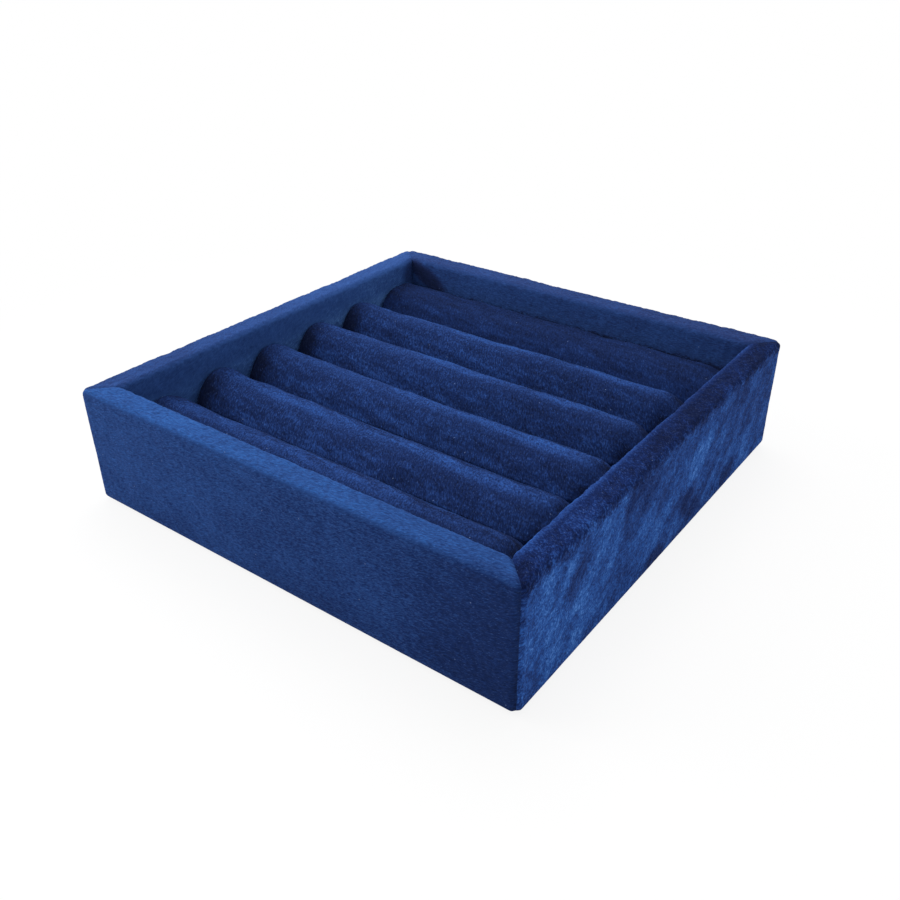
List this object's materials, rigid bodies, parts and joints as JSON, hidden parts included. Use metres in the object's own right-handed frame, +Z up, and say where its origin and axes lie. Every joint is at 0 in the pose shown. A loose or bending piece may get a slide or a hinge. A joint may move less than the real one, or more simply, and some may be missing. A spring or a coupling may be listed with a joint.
{
  "type": "jewelry tray",
  "caption": "Square open tray with mitred velvet-wrapped walls and a lift-out pad of parallel padded rolls, whose slots hold rings upright.",
  "frame": {"origin": "centre of the underside, on the surface that the tray stands on", "axes": "+Z up, +X along the rolls to the right, +Y away from the front wall"},
  "size_m": [0.12, 0.12, 0.03],
  "materials": {
    "board": "bare fibreboard",
    "wall_velvet": "short-pile velvet",
    "base_board": "bare hardboard",
    "base_cover": "short-pile velvet",
    "brads": "bright wire",
    "pad_board": "bare grey board",
    "foam": "cut foam",
    "roll_velvet": "short-pile velvet"
  },
  "bodies": {
    "tray": {"wall_board_front": "board", "wall_board_right": "board", "wall_board_back": "board", "wall_board_left": "board", "wall_velvet_front": "wall_velvet", "wall_velvet_right": "wall_velvet", "wall_velvet_back": "wall_velvet", "wall_velvet_left": "wall_velvet", "base_board": "base_board", "base_cover": "base_cover", "corner_brads": "brads"},
    "pad": {"pad_board": "pad_board", "roll_foam_1": "foam", "roll_foam_2": "foam", "roll_foam_3": "foam", "roll_foam_4": "foam", "roll_foam_5": "foam", "roll_foam_6": "foam", "roll_velvet_1": "roll_velvet", "roll_velvet_2": "roll_velvet", "roll_velvet_3": "roll_velvet", "roll_velvet_4": "roll_velvet", "roll_velvet_5": "roll_velvet", "roll_velvet_6": "roll_velvet"}
  },
  "joints": [
    {"name": "pad_lift", "type": "slide", "parent": "tray", "child": "pad", "axis": [0, 0, 1], "range_m": [0, 0.04]}
  ]
}
